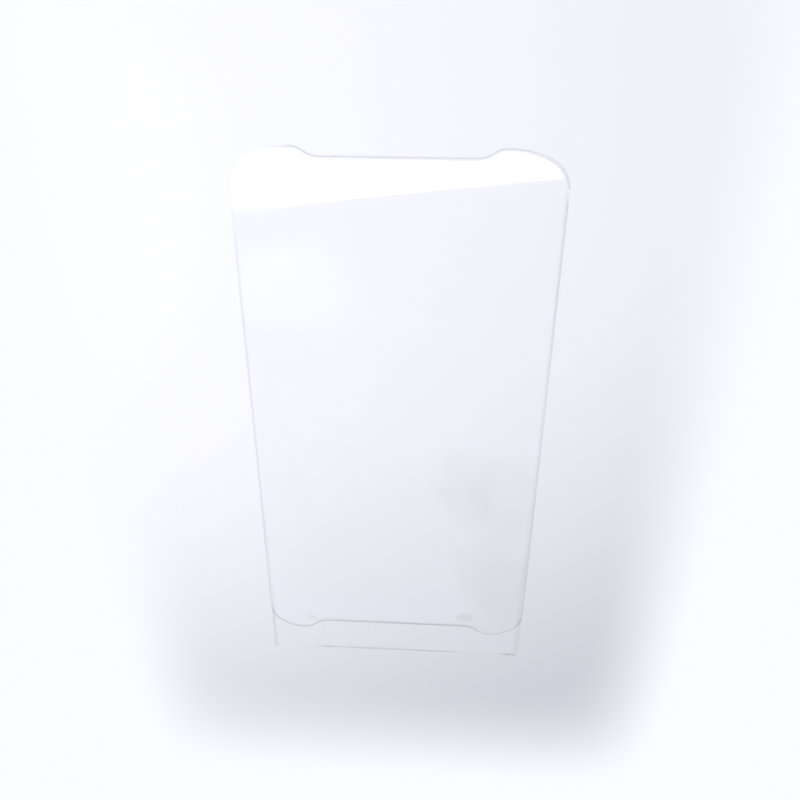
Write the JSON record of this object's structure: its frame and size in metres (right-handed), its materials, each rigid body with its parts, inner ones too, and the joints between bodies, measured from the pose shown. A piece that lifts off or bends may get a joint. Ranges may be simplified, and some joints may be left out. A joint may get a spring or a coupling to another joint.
{
  "type": "screen protector",
  "caption": "Clear rounded-edge tempered glass pane with a shallow notch at each end, lying on a clear release film that ends in a pull tab.",
  "frame": {"origin": "under the middle of the glass pane, on the plane that the release film rests on", "axes": "+Y towards the pane's top end, away from the pull tab; +Z out of the glass's front face"},
  "size_m": [0.07, 0.1381, 0.0005],
  "materials": {
    "tempered_glass": "polished",
    "clear_film": "glossy"
  },
  "bodies": {
    "root": {"glass_pane": "tempered_glass", "release_film": "clear_film"}
  },
  "joints": []
}
